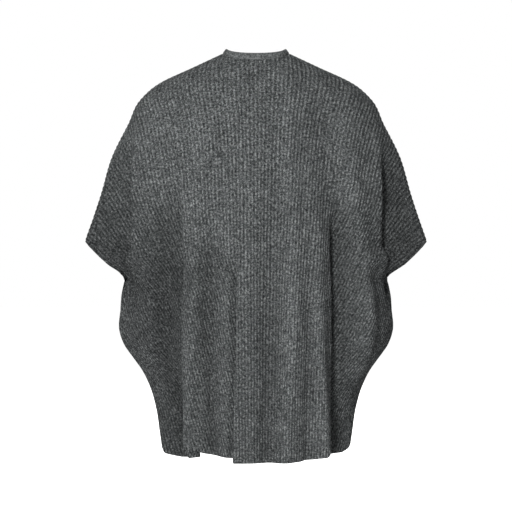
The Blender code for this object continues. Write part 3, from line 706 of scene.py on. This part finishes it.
def rib_knit():
    """Softly brushed heather wool in a chunky rib, its pattern on the map of ribs across and metres along."""
    material, shader = wool("heather rib knit")
    link = material.node_tree.links.new
    knit_map = node(material, "ShaderNodeUVMap", (-2000, 0), uv_map="knit")
    place = node(material, "ShaderNodeTexCoord", (-2000, -400))
    # the yarn wanders a little from side to side
    wander = node(material, "ShaderNodeTexNoise", (-1800, -200), Scale=70.0, Detail=2.0)
    link(place.outputs["Object"], wander.inputs["Vector"])
    split = node(material, "ShaderNodeSeparateXYZ", (-1800, 0))
    link(knit_map.outputs[0], split.inputs[0])
    shift = node(material, "ShaderNodeMath", (-1600, 0), operation="MULTIPLY_ADD")
    shift.inputs[1].default_value = YARN_WANDER
    link(wander.outputs["Fac"], shift.inputs[0])
    link(split.outputs[0], shift.inputs[2])
    centred = node(material, "ShaderNodeMath", (-1500, 0), operation="SUBTRACT")
    centred.inputs[1].default_value = YARN_WANDER / 2
    link(shift.outputs[0], centred.inputs[0])
    # rib profile: 1 on a ridge, 0 in a valley
    turn = node(material, "ShaderNodeMath", (-1400, 100), operation="MULTIPLY")
    turn.inputs[1].default_value = math.tau
    link(centred.outputs[0], turn.inputs[0])
    wave = node(material, "ShaderNodeMath", (-1200, 100), operation="COSINE")
    link(turn.outputs[0], wave.inputs[0])
    rib = node(material, "ShaderNodeMapRange", (-1000, 100))
    rib.inputs["From Min"].default_value = -1.0
    link(wave.outputs[0], rib.inputs["Value"])
    # slanting stitches: a V on every rib
    fold = node(material, "ShaderNodeMath", (-1400, -100), operation="PINGPONG")
    fold.inputs[1].default_value = 0.5
    link(centred.outputs[0], fold.inputs[0])
    slant = node(material, "ShaderNodeMath", (-1200, -100), operation="MULTIPLY_ADD")
    slant.inputs[1].default_value = STITCH_SLANT
    rows_up = node(material, "ShaderNodeMath", (-1400, -260), operation="MULTIPLY")
    rows_up.inputs[1].default_value = 1 / STITCH_LENGTH
    link(split.outputs[1], rows_up.inputs[0])
    link(fold.outputs[0], slant.inputs[0])
    link(rows_up.outputs[0], slant.inputs[2])
    stitch_turn = node(material, "ShaderNodeMath", (-1000, -100), operation="MULTIPLY")
    stitch_turn.inputs[1].default_value = math.tau
    link(slant.outputs[0], stitch_turn.inputs[0])
    stitch = node(material, "ShaderNodeMath", (-800, -100), operation="SINE")
    link(stitch_turn.outputs[0], stitch.inputs[0])
    # light and dark fibres spun together, in flecks a stitch wide and in finer hairs
    flecks = node(material, "ShaderNodeTexNoise", (-1200, -640), Scale=270.0, Detail=2.0, Roughness=0.75)
    link(place.outputs["Object"], flecks.inputs["Vector"])
    hairs = node(material, "ShaderNodeTexNoise", (-1200, -420), Scale=900.0, Detail=2.0, Roughness=0.7)
    link(place.outputs["Object"], hairs.inputs["Vector"])
    clouds = node(material, "ShaderNodeTexNoise", (-1200, -860), Scale=24.0, Detail=3.0, Roughness=0.55)
    link(place.outputs["Object"], clouds.inputs["Vector"])
    heather = node(material, "ShaderNodeMix", (-900, -500), data_type="FLOAT", Factor=FINE_HAIRS)
    link(flecks.outputs["Fac"], heather.inputs[2])
    link(hairs.outputs["Fac"], heather.inputs[3])
    ramp = heather_ramp(material, (-650, -500), HEATHER)
    link(heather.outputs[0], ramp.inputs["Fac"])
    # painted shade in the valleys between the ribs, and painted light on the ribs
    depth = node(material, "ShaderNodeMapRange", (-650, -100))
    depth.inputs["To Min"].default_value = PAINTED_VALLEY_SHADE
    depth.inputs["To Max"].default_value = PAINTED_RIB_LIGHT
    link(rib.outputs["Result"], depth.inputs["Value"])
    patch = node(material, "ShaderNodeMapRange", (-650, -800))
    patch.inputs["From Min"].default_value = 0.3
    patch.inputs["From Max"].default_value = 0.7
    patch.inputs["To Min"].default_value = PATCH_SHADES[0]
    patch.inputs["To Max"].default_value = PATCH_SHADES[1]
    link(clouds.outputs["Fac"], patch.inputs["Value"])
    # the painted shade of the ribs, times paler and darker patches that come at random
    rib_shade_and_patches = node(material, "ShaderNodeMath", (-550, -200), operation="MULTIPLY")
    link(depth.outputs["Result"], rib_shade_and_patches.inputs[0])
    link(patch.outputs["Result"], rib_shade_and_patches.inputs[1])
    # a painted shade, and not the wool's own: paler on the ridges of the folds, darker in their hollows
    fold_map = node(material, "ShaderNodeUVMap", (-1000, -1100), uv_map="folds")
    fold_height = node(material, "ShaderNodeSeparateXYZ", (-800, -1100))
    link(fold_map.outputs[0], fold_height.inputs[0])
    fold_shade = node(material, "ShaderNodeMapRange", (-600, -1100))
    fold_shade.inputs["To Min"].default_value = PAINTED_FOLD_SHADES[0]
    fold_shade.inputs["To Max"].default_value = PAINTED_FOLD_SHADES[1]
    link(fold_height.outputs[0], fold_shade.inputs["Value"])
    shade = node(material, "ShaderNodeMath", (-450, -200), operation="MULTIPLY")
    link(rib_shade_and_patches.outputs[0], shade.inputs[0])
    link(fold_shade.outputs["Result"], shade.inputs[1])
    colour = node(material, "ShaderNodeVectorMath", (-300, -300), operation="SCALE")
    link(ramp.outputs["Color"], colour.inputs[0])
    link(shade.outputs[0], colour.inputs["Scale"])
    link(colour.outputs[0], shader.inputs["Base Color"])
    # bump: stitches on the ribs, then fibres
    height = node(material, "ShaderNodeMath", (-600, 150), operation="MULTIPLY_ADD")
    height.inputs[1].default_value = STITCH_BUMP
    link(stitch.outputs[0], height.inputs[0])
    link(rib.outputs["Result"], height.inputs[2])
    both = node(material, "ShaderNodeMath", (-400, 150), operation="MULTIPLY_ADD")
    both.inputs[1].default_value = FIBRE_BUMP
    link(heather.outputs[0], both.inputs[0])
    link(height.outputs[0], both.inputs[2])
    bump = node(material, "ShaderNodeBump", (-200, 0), Strength=0.5, Distance=0.0010)
    link(both.outputs[0], bump.inputs["Height"])
    link(bump.outputs[0], shader.inputs["Normal"])
    return material


def panel_piece(panel, knit):
    """One panel, made a wall of ribs, with the frame's node of the same name replaced by it."""
    outer, inner, cells = whole_panel(panel)
    ribs = cells["ribs"]
    along = cells["along"]
    # painted shade: how far the cloth is raised in its folds, which pales the ridges and darkens the hollows
    painted_fold_shade = np.clip(0.5 + cells["raised"] / FOLD_RANGE / 2, 0.0, 1.0)
    pattern = (
        lambda line, row: float(ribs[line, row]),
        lambda line, row: float(along[line, row]),
        lambda line, row: float(painted_fold_shade[line, row]),
    )
    piece = sewn_wall(panel + "_knit", outer, inner, pattern)
    piece.data.materials.append(knit)
    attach(piece, "root")
    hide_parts(panel)
    return piece, cells


body_knit = rib_knit()
back, back_cells = panel_piece("back", body_knit)
front, front_cells = panel_piece("front", body_knit)

# ---- neckband ----
# One narrow strip of plain knit, seamed round the neck edge with its edges rolled in. It stands up at the
# sides of the neck, and lies closer to the panel across the back and down the front.
BAND_HEIGHT = 0.0125
BAND_STEPS = 420              # points round the neck
BAND_ROWS = 9
BAND_LEAN = 0.70              # how far it leans in at the neck's sides, per metre up
BAND_OVERLAP = 0.0016         # how far its foot comes down over the panels' edge
BAND_PROUD = 0.0009           # how far it stands out from them
BAND_SHARPNESS = 4            # power of the rounding of its top and foot
UPRIGHT_DEPTH = 0.05          # depth below the shoulder line down to which it stands up
LOOP_PASSES = 4               # times that the loop, its lean and its facing are smoothed
LEAN_PASSES = 30
FACING_PASSES = 12
COUNT_MARGIN = 1e-6           # share of a rib by which the last one at the neck may be over
# its colours, columns: place on the ramp, colour
BAND_HEATHER = [
    (0.34, (0.030, 0.0325, 0.033, 1)),
    (0.68, (0.22, 0.23, 0.23, 1)),
]
BAND_STITCH_BUMP = 0.5        # height of its stitches, as a share of its fibres'


def neck_loop():
    """Neck edge of both panels as one loop of evenly spaced points, its outward normals and its length."""
    back_on = np.abs(back_cells["ribs"][:, 0]) <= NECK_RIBS + COUNT_MARGIN
    front_on = np.abs(front_cells["ribs"][:, 0]) <= NECK_RIBS + COUNT_MARGIN
    rings = {}
    for key in ("points", "normals"):
        ring = np.concatenate([back_cells[key][back_on, 0], front_cells[key][front_on, 0][::-1][1:-1]])
        rings[key] = np.concatenate([ring, ring[:1]])
    steps = np.linalg.norm(np.diff(rings["points"], axis=0), axis=1)
    lengths = np.concatenate([[0.0], np.cumsum(steps)])
    wanted = np.linspace(0, lengths[-1], BAND_STEPS, endpoint=False)
    loop, facing = [
        np.stack([np.interp(wanted, lengths, rings[key][:, axis]) for axis in range(3)], axis=1)
        for key in ("points", "normals")
    ]
    return loop, facing, lengths[-1]


def smoothed(ring, passes):
    """A ring of vectors, each moved towards its neighbours' mean a number of times."""
    for _ in range(passes):
        ring = (np.roll(ring, 1, axis=0) + 2 * ring + np.roll(ring, -1, axis=0)) / 4
    return ring


def neckband_piece(knit):
    """The band, as a ring of rows up from the neck edge, thickest in the middle of its height."""
    loop, facing, length = neck_loop()
    loop = smoothed(loop, LOOP_PASSES)
    edge = np.roll(loop, -1, axis=0) - np.roll(loop, 1, axis=0)
    rise = unit(np.cross(facing, edge))
    rise = rise * np.sign(rise[:, 2:3])
    upright = ease((loop[:, 2] + UPRIGHT_DEPTH) / UPRIGHT_DEPTH)[:, None]
    inward = -BAND_LEAN * loop[:, 0] / NECK_HALF
    lean = np.stack([inward, np.zeros(len(loop)), np.ones(len(loop))], axis=1)
    rise = unit(smoothed(rise * (1 - upright) + lean * upright, LEAN_PASSES))
    wall = unit(smoothed(np.cross(edge, rise), FACING_PASSES))
    wall = wall * np.sign((loop * wall)[:, :2].sum(axis=1, keepdims=True))
    outer = []
    inner = []
    for row in range(BAND_ROWS):
        share = row / (BAND_ROWS - 1)
        round_off = math.sqrt(max(0.0, 1 - (2 * share - 1) ** BAND_SHARPNESS))
        up = loop + rise * (BAND_OVERLAP * (share - 1) + BAND_HEIGHT * share) - wall * CLOTH / 2
        outer.append(up + wall * (CLOTH / 2 + BAND_PROUD) * round_off)
        inner.append(up - wall * CLOTH / 2 * round_off)
    pattern = (
        lambda line, row: line / BAND_STEPS * length,
        lambda line, row: row / (BAND_ROWS - 1) * BAND_HEIGHT,
        lambda line, row: 0.5,
    )
    piece = sewn_wall("neckband_knit", np.stack(outer, axis=1), np.stack(inner, axis=1), pattern, ring=True)
    piece.data.materials.append(knit)
    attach(piece, "root")
    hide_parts("neckband")


def plain_knit():
    """The same heather wool in a finer plain knit, its pattern on the map of metres round and up the band."""
    material, shader = wool("heather plain knit")
    link = material.node_tree.links.new
    place = node(material, "ShaderNodeTexCoord", (-1400, -300))
    knit_map = node(material, "ShaderNodeUVMap", (-1400, 0), uv_map="knit")
    rows = node(material, "ShaderNodeTexWave", (-1000, 0), wave_type="BANDS", bands_direction="X", Scale=62.0,
                Distortion=1.2, Detail=1.0)
    link(knit_map.outputs[0], rows.inputs["Vector"])
    fibre = node(material, "ShaderNodeTexNoise", (-1000, -300), Scale=290.0, Detail=3.0, Roughness=0.7)
    link(place.outputs["Object"], fibre.inputs["Vector"])
    ramp = heather_ramp(material, (-700, -300), BAND_HEATHER)
    link(fibre.outputs["Fac"], ramp.inputs["Fac"])
    link(ramp.outputs["Color"], shader.inputs["Base Color"])
    height = node(material, "ShaderNodeMath", (-600, 100), operation="MULTIPLY_ADD")
    height.inputs[1].default_value = BAND_STITCH_BUMP
    link(rows.outputs["Fac"], height.inputs[0])
    link(fibre.outputs["Fac"], height.inputs[2])
    bump = node(material, "ShaderNodeBump", (-300, 0), Strength=0.7, Distance=0.0008)
    link(height.outputs[0], bump.inputs["Height"])
    link(bump.outputs[0], shader.inputs["Normal"])
    return material


neckband_piece(plain_knit())

# ---- floor, light and camera ----
# A plain white floor well below the hem, a soft light behind the wearer on their left, its twin in front on
# their right, a weak one overhead, and a long lens behind the wearer.
FLOOR_HEIGHT = -0.95
FLOOR_RADIUS = 14.0
FLOOR_GLOW = 1.00             # how brightly the floor glows where the camera sees it, and only there
floor_shape = bmesh.new()
bmesh.ops.create_circle(floor_shape, cap_ends=True, segments=96, radius=FLOOR_RADIUS)
bmesh.ops.translate(floor_shape, verts=floor_shape.verts[:], vec=(0, 0, FLOOR_HEIGHT))
floor_mesh = bpy.data.meshes.new("floor")
floor_shape.to_mesh(floor_mesh)
floor_shape.free()
floor = bpy.data.objects.new("floor", floor_mesh)
bpy.context.scene.collection.objects.link(floor)
floor_finish = bpy.data.materials.new("pale floor")
floor_finish.use_nodes = True
floor_shader = floor_finish.node_tree.nodes["Principled BSDF"]
floor_shader.inputs["Base Color"].default_value = (0.90, 0.90, 0.90, 1)
floor_shader.inputs["Roughness"].default_value = 0.9
floor_shader.inputs["Emission Color"].default_value = (1, 1, 1, 1)
floor_seen = floor_finish.node_tree.nodes.new("ShaderNodeLightPath")
floor_glow = floor_finish.node_tree.nodes.new("ShaderNodeMath")
floor_glow.operation = "MULTIPLY"
floor_glow.inputs[1].default_value = FLOOR_GLOW
floor_finish.node_tree.links.new(floor_seen.outputs["Is Camera Ray"], floor_glow.inputs[0])
floor_finish.node_tree.links.new(floor_glow.outputs[0], floor_shader.inputs["Emission Strength"])
floor_mesh.materials.append(floor_finish)


def soft_light(name, place, target, size, power):
    """A square area light at a place, turned to a target."""
    data = bpy.data.lights.new(name, "AREA")
    data.size = size
    data.energy = power
    lamp = bpy.data.objects.new(name, data)
    lamp.location = place
    lamp.rotation_mode = "QUATERNION"
    lamp.rotation_quaternion = (Vector(target) - Vector(place)).to_track_quat("-Z", "Y")
    bpy.context.scene.collection.objects.link(lamp)


# lights, columns: name, place, target, size, power
LIGHTS = [
    ("key", (1.0, 3.1, 0.75), (0, 0, -0.40), 0.7, 100),
    ("front key", (-1.0, -3.1, 0.75), (0, 0, -0.40), 0.7, 100),
    ("top", (0, 0, 2.4), (0, 0, 0), 1.0, 8),
]
for light_row in LIGHTS:
    soft_light(*light_row)

AMBIENT = 0.035               # the even light of the studio wall, which is white where it is seen
world = bpy.data.worlds.new("studio")
world.use_nodes = True
wall_nodes = world.node_tree.nodes
wall = wall_nodes["Background"]
wall.inputs["Color"].default_value = (1, 1, 1, 1)
seen = wall_nodes.new("ShaderNodeLightPath")
brightness = wall_nodes.new("ShaderNodeMapRange")
brightness.inputs["To Min"].default_value = AMBIENT
brightness.inputs["To Max"].default_value = 1.0
world.node_tree.links.new(seen.outputs["Is Camera Ray"], brightness.inputs["Value"])
world.node_tree.links.new(brightness.outputs["Result"], wall.inputs["Strength"])
bpy.context.scene.world = world
bpy.context.scene.view_settings.view_transform = "Standard"

CAMERA_AWAY = 3.2
CAMERA_HEIGHT = -0.398
CAMERA_LENS = 112.5           # focal length and film width, in millimetres
FILM_WIDTH = 36
camera_data = bpy.data.cameras.new("camera")
camera_data.lens = CAMERA_LENS
camera_data.sensor_width = FILM_WIDTH
camera = bpy.data.objects.new("camera", camera_data)
camera.location = (0.0, CAMERA_AWAY, CAMERA_HEIGHT)
camera.rotation_euler = (math.pi / 2, 0, math.pi)
bpy.context.scene.collection.objects.link(camera)
bpy.context.scene.camera = camera
